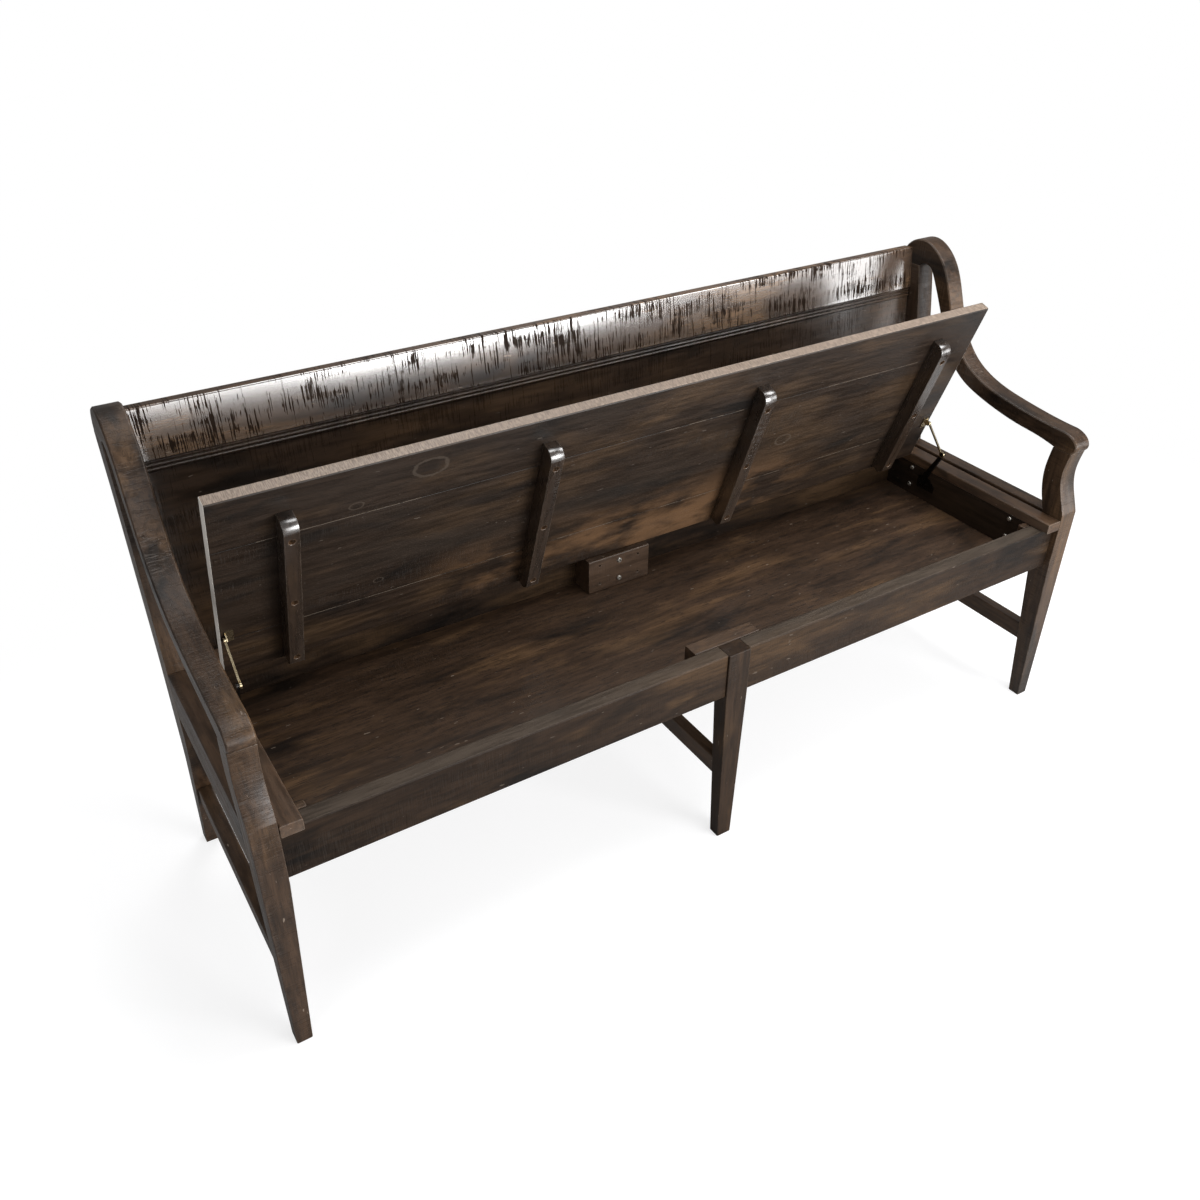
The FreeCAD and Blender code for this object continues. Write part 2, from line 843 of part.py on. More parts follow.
# The strip that the seat is hinged to, over the back rail.
strip_front = axis_y + V["leaf_thick"] + fit
hinge_strip = board("rear_hinge_strip", -(strip_in - fit), strip_in - fit,
                    strip_front, strip_rear, rail_top + fit,
                    V["seat_top"], "x")

# Raked back: panel, rounded top board and the reeded moulding below it.
rake = Rot(Vec(1, 0, 0), -V["back_rake"])
tan_rake = math.tan(math.radians(V["back_rake"]))
back_y = strip_rear + fit + 0.3
back_base = (0.0, back_y, rail_top)
back_half = end_in - fit
panel_thick = V["panel_thick"]
panel_top = V["panel_rise"] + V["board_groove"] + 8.0
panel = body("back_panel", back_base, rake)
prism(panel, "YZ", [chain(
    (0.0, fit),
    (panel_thick, fit + panel_thick * tan_rake),
    (panel_thick, panel_top),
    (0.0, panel_top),
)], -back_half, back_half)
top_board = body("back_top_board", back_base, rake)
board_low = V["panel_rise"] + 17.0
board_top = board_low + V["board_height"]
face = -V["board_proud"]
rear_face = face + V["board_thick"]
groove_depth = panel_top - board_low + 1.0
round_r = V["board_round"]
prism(top_board, "YZ", [chain(
    (face, board_low),
    (-fit, board_low),
    (-fit, board_low + groove_depth),
    (panel_thick + fit, board_low + groove_depth),
    (panel_thick + fit, board_low),
    (rear_face, board_low),
    (rear_face, board_top - V["board_arris"]),
    (rear_face - V["board_arris"], board_top),
    (face + round_r, board_top),
)], -back_half, back_half)

# The front of the top board rolls over in a full round.
prism(top_board, "YZ", [chain(
    (face + round_r, board_top),
    arc(face + round_r, board_top - round_r, round_r, 90, 180),
    (face, board_low + groove_depth + 3.0),
    (face + round_r, board_low + groove_depth + 3.0),
)], -back_half, back_half)

reed = body("reed_moulding", back_base, rake)
reeds = int(V["reed_count"])
reed_pitch = V["reed_height"] / reeds
reed_top = board_low - fit
reed_steps = [(-fit, reed_top), (-fit - V["reed_base"], reed_top)]
for k in range(reeds):
    z_top = reed_top - k * reed_pitch
    z_mid = z_top - reed_pitch / 2
    bead_r = V["reed_bead"]
    x_c = -fit - V["reed_base"]
    reed_steps.append((x_c, z_mid + bead_r))
    reed_steps.append(arc(x_c, z_mid, bead_r, 90, 270))
reed_steps.append((-fit - V["reed_base"], reed_top - V["reed_height"]))
reed_steps.append((-fit, reed_top - V["reed_height"]))
prism(reed, "YZ", [chain(*reed_steps)], -back_half, back_half)

# Seat lid and what turns with it, drawn shut and then swung open.
swing = Rot(Vec(1, 0, 0), -V["lid_open"])


def lid_body(label):
    """A piece of the lid: drawn shut, placed open about the hinge line."""
    piece = body(label)
    pivot = Vec(0, axis_y, axis_z)
    moved = pivot - swing.multVec(pivot)
    piece.Placement = Place(moved + Vec(0, -depth / 2, 0), swing)
    return piece


lid_low = rail_top + fit
lid_top = V["seat_top"]
lid_rear = axis_y - V["leaf_thick"] - fit
lid = lid_body("seat_lid")
prism(lid, "YZ", [rect(V["lid_front_set"], lid_low, lid_rear, lid_top)],
      -lid_half, lid_half)
ease(lid, "x", 2.0)
cleat_out = lid_half - V["cleat_end_set"]
cleat_places = (-cleat_out, -cleat_out / 3, cleat_out / 3, cleat_out)
cleat_rear = axis_y - V["cleat_start"]
cleat_front = cleat_rear - V["cleat_length"]
cleat_top = lid_low - fit
cleat_low = cleat_top - V["cleat_thick"]
screw_rows = [axis_y - V["cleat_screw_" + word]
              for word in ("low", "mid", "high")]
screw_seat = cleat_low + V["cleat_bore_deep"]
head = V["screw_head"] / 2
shank = V["screw_shank"] / 2
for number, x in enumerate(cleat_places, start=1):
    # A stout bar, its free end rounded and its heel sawn off at a slant.
    cleat = lid_body("lid_cleat_%d" % number)
    nose = V["cleat_nose"]
    prism(cleat, "YZ", [chain(
        (cleat_front, cleat_top),
        arc(cleat_front + nose, cleat_low + nose, nose, 180, 270),
        (cleat_rear - V["cleat_ramp"], cleat_low),
        (cleat_rear, cleat_top - V["cleat_heel"]),
        (cleat_rear, cleat_top),
    )], x - V["cleat_width"] / 2, x + V["cleat_width"] / 2,
        "Sizes.cleat_width")
    for y in screw_rows:
        cut(cleat, "XY", [bore(x, y, V["cleat_bore"] / 2, 12)],
            cleat_low - 1, screw_seat)
        cut(cleat, "XY", [bore(x, y, shank + fit)], screw_seat - 1,
            cleat_top + 1)
        cut(lid, "XY", [bore(x, y, shank + fit)], lid_low - 1,
            screw_seat + V["screw_long"] + 1.0)


def turned(radii, sides=12):
    """A turned piece in flats, from (radius, height) steps."""
    turns = [2 * math.pi * k / sides for k in range(sides)]
    rings = [[Vec(r * math.cos(t), r * math.sin(t), z) for t in turns]
             for r, z in radii]
    faces = [Part.Face(Part.makePolygon(ring + ring[:1]))
             for ring in (rings[0], rings[-1])]
    for low, high in zip(rings, rings[1:]):
        for k in range(sides):
            after = (k + 1) % sides
            quad = [low[k], low[after], high[after], high[k], low[k]]
            faces.append(Part.Face(Part.makePolygon(quad)))
    solid = Part.makeSolid(Part.makeShell(faces))
    if solid.Volume < 0:
        solid.reverse()
    return solid


def fastener_set(label, shape, places, placement=None):
    """One node of identical fasteners, each a turned solid."""
    feature = doc.addObject("Part::Feature", label)
    feature.Label = label
    copies = []
    for spot, rotation in places:
        copy = shape.copy()
        copy.Placement = Place(spot, rotation)
        copies.append(copy)
    feature.Shape = Part.makeCompound(copies)
    feature.Placement = placement or Place(Vec(0, -depth / 2, 0), Rot())
    return feature


lid_placement = doc.getObject("seat_lid").Placement
head_high = V["screw_head_high"]
wood_screw = turned([(head * 0.7, -head_high), (head, 0.0), (shank, 0.0),
                     (shank, V["screw_long"])], 10)
fastener_set("cleat_screws", wood_screw,
             [(Vec(x, y, screw_seat - 0.1), Rot()) for x in cleat_places
              for y in screw_rows], lid_placement)

# Three butt hinges, their knuckles shared out between the leaves.
radius = V["barrel"] / 2
leaf = V["leaf_thick"]
leaf_long = V["leaf_long"]
outer_hinge = lid_half - V["hinge_end_gap"] - leaf_long / 2
hinge_places = (-outer_hinge, 0.0, outer_hinge)
hinge_words = ("left", "centre", "right")
knuckles = int(V["knuckles"])
knuckle = leaf_long / knuckles
pin_clear = V["pin"] / 2 + 0.15
leaf_low = axis_z - V["leaf_drop"]


def hinge_leaf(piece, x, fixed):
    """A leaf let in on edge, with its share of the knuckles."""
    if fixed:
        y0, y1 = axis_y + 0.15, axis_y + leaf
        mine = range(0, knuckles, 2)
    else:
        y0, y1 = axis_y - leaf, axis_y - 0.15
        mine = range(1, knuckles, 2)
    start = x - leaf_long / 2
    prism(piece, "YZ", [rect(y0, leaf_low, y1, axis_z - radius + 0.8)],
          start, start + leaf_long, "Sizes.leaf_long")
    for k in mine:
        a = start + k * knuckle + (0.1 if k else 0.0)
        b = start + (k + 1) * knuckle - (0.1 if k < knuckles - 1 else 0.0)
        prism(piece, "YZ", [disc(axis_y, axis_z, radius)], a, b)
    for k in range(knuckles):
        if k not in mine:
            a = start + k * knuckle - (0.1 if k else 1.0)
            b = start + (k + 1) * knuckle + (0.1 if k < knuckles - 1 else 1.0)
            clear = radius + 0.2
            cut(piece, "YZ", [rect(axis_y - clear, axis_z - clear,
                                   axis_y + clear, axis_z + clear)], a, b)
    cut(piece, "YZ", [bore(axis_y, axis_z, pin_clear, 8)], start - 1,
        start + leaf_long + 1)


for word, x in zip(hinge_words, hinge_places):
    fixed_leaf = body(word + "_hinge_fixed_leaf")
    hinge_leaf(fixed_leaf, x, True)
    moving_leaf = lid_body(word + "_hinge_lid_leaf")
    hinge_leaf(moving_leaf, x, False)
pin_solid = Part.makeCylinder(V["pin"] / 2, leaf_long, Vec(0, 0, 0))
to_x = Rot(Vec(0, 0, 1), Vec(1, 0, 0))
fastener_set("hinge_pins", pin_solid,
             [(Vec(x - leaf_long / 2, axis_y, axis_z), to_x)
              for x in hinge_places])

# Knock-down bolts with pan heads and hexagon sockets.


def knock_down_bolt(long):
    head_r = V["bolt_head"] / 2
    high = V["bolt_head_high"]
    solid = turned([(head_r * 0.75, -high), (head_r, -high * 0.5),
                    (head_r, 0.0), (V["bolt_shank"] / 2, 0.0),
                    (V["bolt_shank"] / 2, long)], 10)
    corner_r = V["bolt_socket"] / 2 / math.cos(math.radians(30))
    ring = [Vec(corner_r * math.cos(math.radians(60 * k)),
                corner_r * math.sin(math.radians(60 * k)), -high - 0.1)
            for k in range(7)]
    socket = Part.Face(Part.makePolygon(ring)).extrude(Vec(0, 0, high))
    return solid.cut(socket)


frame_levels = [z + 5.0 for z in bolt_levels]
frame_bolt = knock_down_bolt(V["frame_bolt_long"])
frame_places = []
for side in (-1, 1):
    turn = Rot(Vec(0, 0, 1), Vec(side, 0, 0))
    for y in (V["frame_bolt_front"], V["frame_bolt_rear"]):
        for z in frame_levels:
            frame_places.append((Vec(side * (side_in - 0.2), y, z), turn))
fastener_set("frame_bolts", frame_bolt, frame_places)
front_head_y = rail_back + fit + V["block_thick"] + 0.2
rear_head_y = box_rear - fit - V["rear_block_thick"] - 0.2
to_front = Rot(Vec(0, 0, 1), Vec(0, -1, 0))
to_rear = Rot(Vec(0, 0, 1), Vec(0, 1, 0))
fastener_set("front_block_bolts",
             knock_down_bolt(front_head_y - front_bolt_end),
             [(Vec(0, front_head_y, z), to_front) for z in bolt_levels])
fastener_set("rear_block_bolts",
             knock_down_bolt(rear_bolt_end - rear_head_y),
             [(Vec(0, rear_head_y, z), to_rear) for z in bolt_levels])

# Soft-down stays, one at each end: a plate on the box side, a damped arm,
# a rod and a plate under the lid.
pivot_y = V["stay_pivot_y"]
pivot_z = V["stay_pivot_z"]
elbow_y = V["stay_elbow_y"]
elbow_z = V["stay_elbow_z"]
plate = V["stay_plate"]
arm_thick = V["stay_arm_thick"]
pin_r = V["stay_pin"] / 2
damper_r = V["stay_damper"] / 2
lid_pin_y = axis_y - V["stay_lid_reach"]
lid_pin_z = lid_low - V["stay_lid_drop"]
arm_dir = Vec(0, elbow_y - pivot_y, elbow_z - pivot_z)
arm_len = arm_dir.Length
swung = swing.multVec(Vec(0, lid_pin_y - axis_y, lid_pin_z - axis_z))
open_y = axis_y + swung.y
open_z = axis_z + swung.z
rod_vec = Vec(0, open_y - elbow_y, open_z - elbow_z)
rod_len = rod_vec.Length


def turned_about_x(vector):
    """Turn about X that lays local Z along a vector in the YZ plane."""
    angle = math.degrees(math.atan2(-vector.y, vector.z))
    return Rot(Vec(1, 0, 0), angle)


for side, word in ((-1, "left"), (1, "right")):
    face_x = side_in - fit
    p0, p1 = end_x(side, face_x - plate, face_x)
    base = body(word + "_stay_base")
    prism(base, "YZ", [chain(
        (pivot_y - 36.0, pivot_z - 16.0),
        (pivot_y + 12.0, pivot_z - 16.0),
        (pivot_y + 12.0, pivot_z + 12.0),
        (pivot_y - 20.0, pivot_z + 12.0),
        (pivot_y - 36.0, pivot_z - 2.0),
    )], p0, p1, "Sizes.stay_plate")
    b0, b1 = end_x(side, face_x - plate - arm_thick - 3.2, face_x - plate)
    prism(base, "YZ", [disc(pivot_y, pivot_z, pin_r + 1.0)], b0, b1)
    arm_out = face_x - plate - 0.4
    arm_in = arm_out - arm_thick
    a0, a1 = end_x(side, arm_in, arm_out)
    turn = turned_about_x(arm_dir)
    lever = body(word + "_stay_arm", (0.0, pivot_y, pivot_z), turn)
    prism(lever, "YZ", [chain(
        (-damper_r * 0.8, 0.0),
        (damper_r * 0.8, 0.0),
        (pin_r + 2.0, arm_len),
        (-pin_r - 2.0, arm_len),
    )], a0, a1, "Sizes.stay_arm_thick")
    prism(lever, "YZ", [disc(0.0, 0.0, damper_r)], a0, a1)
    prism(lever, "YZ", [disc(0.0, arm_len, pin_r + 3.0)], a0, a1)
    cut(lever, "YZ", [bore(0.0, 0.0, pin_r + 1.0 + fit, 8)], a0 - 1, a1 + 1)
    e0, e1 = end_x(side, arm_in - 4.6, arm_in + 0.5)
    prism(lever, "YZ", [disc(0.0, arm_len, pin_r)], e0, e1)
    rod_out = arm_in - 0.5
    rod_in = rod_out - V["stay_rod"] + 0.6
    r0, r1 = end_x(side, rod_in, rod_out)
    eye_hole = V["stay_elbow_hole"] / 2
    turn = turned_about_x(rod_vec)
    rod = body(word + "_stay_rod", (0.0, elbow_y, elbow_z), turn)
    rod_r = V["stay_rod"] / 2
    prism(rod, "YZ", [rect(-rod_r, 0.0, rod_r, rod_len)], r0, r1)
    prism(rod, "YZ", [disc(0.0, 0.0, eye_hole + 2.2)], r0, r1)
    prism(rod, "YZ", [disc(0.0, rod_len, pin_r + 2.4)], r0, r1)
    cut(rod, "YZ", [disc(0.0, 0.0, eye_hole)], r0 - 1, r1 + 1)
    cut(rod, "YZ", [bore(0.0, rod_len, pin_r + fit, 8)], r0 - 1, r1 + 1)
    bracket = lid_body(word + "_stay_lid_plate")
    plate_top = lid_low - fit
    q0, q1 = end_x(side, rod_in - 0.5 - V["stay_foot_wide"], rod_in - 0.5)
    foot_half_long = V["stay_foot_long"] / 2
    prism(bracket, "XY", [rect(q0, lid_pin_y - foot_half_long,
                               q1, lid_pin_y + foot_half_long)],
          plate_top - plate, plate_top)
    ear0, ear1 = end_x(side, rod_in - 2.5, rod_in - 0.5)
    prism(bracket, "YZ", [chain(
        (lid_pin_y - 8.0, plate_top - 0.5),
        (lid_pin_y - 4.5, lid_pin_z - 2.0),
        (lid_pin_y, lid_pin_z - 4.5),
        (lid_pin_y + 4.5, lid_pin_z - 2.0),
        (lid_pin_y + 8.0, plate_top - 0.5),
    )], ear0, ear1)
    n0, n1 = end_x(side, rod_in - 0.7, rod_out + 0.3)
    prism(bracket, "YZ", [disc(lid_pin_y, lid_pin_z, pin_r)], n0, n1)

# Checks every feature before anything is written.
doc.recompute()
parts = [o for o in doc.Objects
         if o.TypeId in ("PartDesign::Body", "Part::Feature")]
for obj in doc.Objects:
    states = list(obj.State)
    if "Invalid" in states or "Error" in states:
        raise RuntimeError("%s (%s): %s" % (obj.Name, obj.Label, states))
for obj in parts:
    if obj.Shape.isNull() or not obj.Shape.isValid():
        raise RuntimeError("bad shape: " + obj.Label)
os.makedirs("parts", exist_ok=True)
for obj in parts:
    obj.Shape.exportStep("parts/%s.step" % obj.Label)
print("pieces:", len(parts))
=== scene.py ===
import bpy
import math
from mathutils import Matrix, Vector

# Settle bench: finish of every piece, camera and studio. Lengths in metres.

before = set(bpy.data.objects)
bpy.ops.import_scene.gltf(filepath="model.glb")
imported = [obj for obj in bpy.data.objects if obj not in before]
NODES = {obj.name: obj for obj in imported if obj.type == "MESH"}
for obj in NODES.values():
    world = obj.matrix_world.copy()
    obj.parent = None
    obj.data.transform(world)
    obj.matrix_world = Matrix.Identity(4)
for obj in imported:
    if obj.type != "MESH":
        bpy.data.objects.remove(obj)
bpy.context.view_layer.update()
SIDES = ("left", "right")

# Camera: where the photograph was taken from, in the part's own frame.
CAMERA_AT = (-1.0409, -1.4438, 1.5953)
CAMERA_YAW = 32.383
CAMERA_PITCH = 33.843
CAMERA_ROLL = 0.472
CAMERA_LENS = 33.128
SENSOR_WIDTH = 36.0

# Hinge line of the seat and how far it stands open in the photograph.
HINGE_LINE = Vector((0.0, 0.139, 0.4695))
LID_OPEN = math.radians(71.0)
# Depth of that line once the seat is turned back flat.
HINGE_DEPTH = (Matrix.Rotation(LID_OPEN, 3, "X") @ HINGE_LINE).y

# Marks on the underside of the seat. Filler along the joints of its boards:
# distance from the hinge line, then the spans along the bench.
FILLED_JOINTS = (
    (0.306, ((-0.718, -0.454), (0.021, 0.196), (0.403, 0.644))),
    (0.095, ((-0.652, -0.404), (-0.309, -0.260), (-0.165, -0.045),
             (0.065, 0.362), (0.456, 0.643))),
)
# Knots: place along the bench, distance from the hinge line, size.
KNOTS = (
    (-0.440, 0.369, 0.030),
    (-0.521, 0.132, 0.009),
    (0.336, 0.189, 0.020),
    (-0.562, 0.326, 0.012),
)
# Where the pale sawn front edge of the seat begins, and where its ends begin,
# which are painted near white as a highlight.
SEAT_FRONT = 0.4075
SEAT_END = 0.7885
EDGE_BLUR = 0.0003
# Screws of the cleats: distances from the hinge line, and the cleats' pitch.
CLEAT_SCREWS = (0.037, 0.180, 0.322)
CLEAT_PITCH = 0.45067

# Colours of the wood, in linear light.
DARK = (0.0150, 0.0090, 0.0058)
BROWN = (0.060, 0.0335, 0.0185)
WARM = (0.150, 0.084, 0.040)
GREY = (0.105, 0.083, 0.067)
WORN = (0.300, 0.235, 0.180)
# Warm light bounced from the floor, painted low on the seat.
BOUNCE_WARM = (0.52, 0.28, 0.135)
BORED = (0.34, 0.185, 0.095)
FILLER = (0.36, 0.27, 0.19)
SAWN_DEEP = (0.130, 0.097, 0.074)
SAWN_HIGH = (0.245, 0.190, 0.148)
# Painted highlight on the ends of the seat, near white.
END_HIGHLIGHT = (0.80, 0.76, 0.70)

# How long a saw mark is beside its width, for each direction of the grain.
SAW_MARK = {"x": 0.05, "y": 0.06, "z": 0.05}
# Reach of the rubbed arrises, and depth of the relief.
ARRIS_REACH = 0.0022
RELIEF = 0.0007

# Studio.
FLOOR_SIZE = 14.0
FLOOR_GLOW = 0.70
AMBIENT = 0.30
# Area lamps: name, place, aim, width, height, watts.
LAMPS = (
    ("overhead", (0.3, 0.1, 3.2), (0.1, 0.1, 0.4), 2.4, 1.2, 56.0),
    ("right_top", (1.15, -0.35, 1.9), (0.6, 0.35, 0.6), 0.7, 0.7, 13.0),
    ("key", (1.05, -2.6, 0.80), (0.0, 0.1, 0.8), 1.4, 1.3, 100.0),
    ("key_side", (-0.15, -2.6, 0.80), (0.0, 0.1, 0.8), 0.9, 1.3, 20.0),
    ("right_fill", (3.3, -2.2, 0.9), (0.3, 0.1, 0.7), 1.7, 1.4, 36.0),
    ("left_fill", (-2.8, -1.6, 1.6), (0.0, 0.0, 0.5), 1.8, 1.8, 18.0),
    ("rear_rim", (1.6, 2.8, 2.2), (0.2, 0.2, 0.7), 2.4, 1.0, 12.0),
)


class Tree:
    """Small helper for writing node trees in few lines."""

    def __init__(self, tree):
        self.tree = tree

    def node(self, kind, **settings):
        made = self.tree.nodes.new(kind)
        for name, value in settings.items():
            setattr(made, name, value)
        return made

    def link(self, source, target):
        self.tree.links.new(source, target)

    def put(self, socket, value):
        if isinstance(value, bpy.types.NodeSocket):
            self.link(value, socket)
        else:
            socket.default_value = value

    def math(self, operation, a, b=0.0):
        made = self.node("ShaderNodeMath", operation=operation)
        self.put(made.inputs[0], a)
        self.put(made.inputs[1], b)
        return made.outputs[0]

    def add(self, a, b):
        return self.math("ADD", a, b)

    def less(self, a, b):
        return self.math("SUBTRACT", a, b)

    def times(self, a, b):
        return self.math("MULTIPLY", a, b)

    def size_of(self, a):
        return self.math("ABSOLUTE", a)

    def reach(self, a, b):
        """Distance from two sides at right angles."""
        return self.math("SQRT", self.add(self.times(a, a),
                                          self.times(b, b)))

    def split(self, vector):
        made = self.node("ShaderNodeSeparateXYZ")
        self.link(vector, made.inputs[0])
        return made.outputs

    def mix(self, factor, a, colour, blend="MIX"):
        made = self.node("ShaderNodeMix", data_type="RGBA", blend_type=blend)
        self.put(made.inputs["Factor"], factor)
        for socket, value in (("A", a), ("B", colour)):
            value = (*value, 1.0) if isinstance(value, tuple) else value
            self.put(made.inputs[socket], value)
        return made.outputs["Result"]

    def span(self, value, low, high, out_low=0.0, out_high=1.0):
        """Smooth step from one value to another."""
        made = self.node("ShaderNodeMapRange",
                         interpolation_type="SMOOTHSTEP")
        self.put(made.inputs["Value"], value)
        made.inputs["From Min"].default_value = low
        made.inputs["From Max"].default_value = high
        made.inputs["To Min"].default_value = out_low
        made.inputs["To Max"].default_value = out_high
        return made.outputs["Result"]

    def window(self, value, low, high, soft=0.003):
        """One between two values, nought outside."""
        rise = self.span(value, low - soft, low)
        fall = self.span(value, high, high + soft, 1.0, 0.0)
        return self.times(rise, fall)

    def place(self, vector, scale, shift=(0.0, 0.0, 0.0)):
        made = self.node("ShaderNodeMapping")
        self.put(made.inputs["Vector"], vector)
        made.inputs["Scale"].default_value = scale
        made.inputs["Location"].default_value = shift
        return made.outputs["Vector"]

    def noise(self, vector, scale, detail=3.0, rough=0.55, twist=0.0):
        made = self.node("ShaderNodeTexNoise")
        self.put(made.inputs["Vector"], vector)
        made.inputs["Scale"].default_value = scale
        made.inputs["Detail"].default_value = detail
        made.inputs["Roughness"].default_value = rough
        made.inputs["Distortion"].default_value = twist
        return made.outputs["Fac"]

    def ramp(self, value, *stops):
        made = self.node("ShaderNodeValToRGB")
        self.put(made.inputs["Fac"], value)
        ramp = made.color_ramp
        while len(ramp.elements) < len(stops):
            ramp.elements.new(0.5)
        for element, (place, colour) in zip(ramp.elements, stops):
            element.position = place
            element.color = (*colour, 1.0)
        return made.outputs["Color"]

    def bump(self, height, strength, depth, normal=None):
        made = self.node("ShaderNodeBump")
        made.inputs["Strength"].default_value = strength
        made.inputs["Distance"].default_value = depth
        self.link(height, made.inputs["Height"])
        if normal is not None:
            self.link(normal, made.inputs["Normal"])
        return made.outputs[0]


def new_material(name):
    """A material, its tree, its shader and its output's surface socket."""
    material = bpy.data.materials.new(name)
    material.use_nodes = True
    material.node_tree.nodes.clear()
    tree = Tree(material.node_tree)
    shader = tree.node("ShaderNodeBsdfPrincipled")
    surface = tree.node("ShaderNodeOutputMaterial").inputs["Surface"]
    tree.link(shader.outputs[0], surface)
    return material, tree, shader, surface


def stretch(grain, along, across):
    """Scale of a texture along the grain and across it."""
    return tuple(along if axis == grain else across for axis in "xyz")


def stain(tree, moved, grain, warmth):
    """Dark and warm clouds drawn out along the board."""
    cloudy = tree.place(moved, stretch(grain, 0.30, 1.0))
    broad = tree.noise(cloudy, 13.0, 4.0, 0.62, 0.4)
    base = tree.ramp(broad, (0.34, DARK), (0.47, BROWN), (0.60, BROWN),
                     (0.76, WARM))
    patch = tree.noise(tree.place(cloudy, (1, 1, 1), (5.3, 2.1, 0.7)),
                       9.0, 3.0, 0.6, 0.3)
    return tree.mix(tree.span(patch, 0.50, 0.66, 0.0, warmth), base, WARM)


def pore_dashes(tree, moved, grain, amount):
    """Short dark dashes along the grain."""
    pore = tree.noise(tree.place(moved, stretch(grain, 0.045, 0.6)),
                      900.0, 2.0, 0.5)
    return tree.span(pore, 0.57, 0.68, 0.0, amount)


def saw_lines(tree, moved, grain, along, amount):
    """Clusters of fine raised and deep lines across the board."""
    marks = tree.noise(tree.place(moved, stretch(grain, 1.0,
                                                 SAW_MARK[grain])),
                       620.0, 2.5, 0.6)
    where = tree.span(tree.noise(along, 16.0, 3.0, 0.6), 0.50, 0.66)
    raised = tree.times(tree.span(marks, 0.52, 0.64), where)
    deep = tree.times(tree.span(marks, 0.40, 0.33, 0.0, amount), where)
    return raised, deep


def wax_and_sheen_haze(tree, along, amount):
    """Soft greyish clouds: partly wax, partly a painted sheen of light
    reflected from the floor.
    """
    cloud = tree.noise(tree.place(along, (2.2, 1.0, 1.0), (3.1, 0, 0)),
                       7.0, 3.0, 0.6)
    return tree.span(cloud, 0.48, 0.75, 0.0, amount)


def torn_checks(tree, moved, grain, amount):
    """Dark ragged checks across the board, in bunches."""
    torn = tree.noise(tree.place(moved, stretch(grain, 1.0, 0.045)),
                      420.0, 2.0, 0.6)
    bunch = tree.noise(tree.place(moved, stretch(grain, 0.35, 1.0)),
                       26.0, 3.0, 0.6)
    torn = tree.add(torn, tree.times(bunch, 0.75))
    return tree.span(torn, 0.935, 0.985, 0.0, amount)


def nicks(tree, moved, grain):
    """A few short scratches along the grain."""
    nick = tree.noise(tree.place(moved, stretch(grain, 0.25, 1.0)),
                      210.0, 1.0, 0.4)
    return tree.span(nick, 0.775, 0.80)


def rubbed_arris(tree, moved, rounded, normal, amount):
    """Where an arris is rubbed pale, broken up along its length."""
    turned = tree.node("ShaderNodeVectorMath", operation="DOT_PRODUCT")
    tree.link(rounded, turned.inputs[0])
    tree.link(normal, turned.inputs[1])
    edge = tree.span(turned.outputs["Value"], 0.985, 0.90)
    rub = tree.span(tree.noise(moved, 55.0, 4.0, 0.7), 0.36, 0.62, 0.1, 1.0)
    return tree.times(tree.times(edge, rub), amount)


def painted_bounce_patch(tree, along, from_hinge, moved, base):
    """Painted warm bounce light near the hinges, in the middle of the seat, in
    cloudy patches.
    """
    near = tree.span(from_hinge, 0.05, 0.19, 0.7, 0.0)
    middle = tree.span(tree.size_of(along), 0.28, 0.50, 1.0, 0.0)
    cloud = tree.noise(tree.place(moved, (0.35, 1.0, 1.0)), 14.0, 4.0, 0.6)
    patch = tree.times(tree.times(near, middle),
                       tree.span(cloud, 0.40, 0.62))
    return tree.mix(patch, base, BOUNCE_WARM)


def joint_lines(tree, along, from_hinge, ragged, base):
    """Dark joints between the boards, with pale filler in places."""
    joints = 0.0
    for place, spans in FILLED_JOINTS:
        line = tree.span(tree.size_of(tree.less(from_hinge, place)),
                         0.0002, 0.0011, 1.0, 0.0)
        filled = 0.0
        for low, high in spans:
            filled = tree.math("MAXIMUM", filled,
                               tree.window(along, low, high))
        filled = tree.times(filled, tree.span(ragged, 0.35, 0.50))
        shade = tree.mix(filled, DARK, FILLER)
        base = tree.mix(tree.times(line, 0.9), base, shade)
        joints = tree.math("MAXIMUM", joints, line)
    return base, joints


def knot(tree, across, beside, size, ragged, base):
    """One knot: a dark heart in a pale oval rim."""
    reach = tree.reach(tree.math("DIVIDE", across, size),
                       tree.math("DIVIDE", beside, size * 0.62))
    reach = tree.add(reach, tree.times(tree.less(ragged, 0.5), 0.5))
    base = tree.mix(tree.span(reach, 0.25, 0.75, 0.35, 0.0), base, DARK)
    rim = tree.window(reach, 0.88, 1.02, 0.08)
    return tree.mix(tree.times(rim, 0.38), base, WORN)


def sawn_front_and_lit_ends(tree, along, from_hinge, moved):
    """The pale sawn front edge, and the ends painted near white as a
    highlight: where they are, and their colour.
    """
    front = tree.span(from_hinge, SEAT_FRONT - EDGE_BLUR,
                      SEAT_FRONT + EDGE_BLUR)
    # The seat's ends, painted near white as a highlight.
    lit_end = tree.span(tree.size_of(along), SEAT_END - EDGE_BLUR,
                    SEAT_END + EDGE_BLUR)
    lines = tree.noise(tree.place(moved, (1.0, 0.1, 0.1)), 800.0, 2.0, 0.6)
    colour = tree.mix(tree.span(lines, 0.38, 0.62), SAWN_DEEP, SAWN_HIGH)
    return tree.math("MAXIMUM", front, lit_end), tree.mix(lit_end, colour, END_HIGHLIGHT)


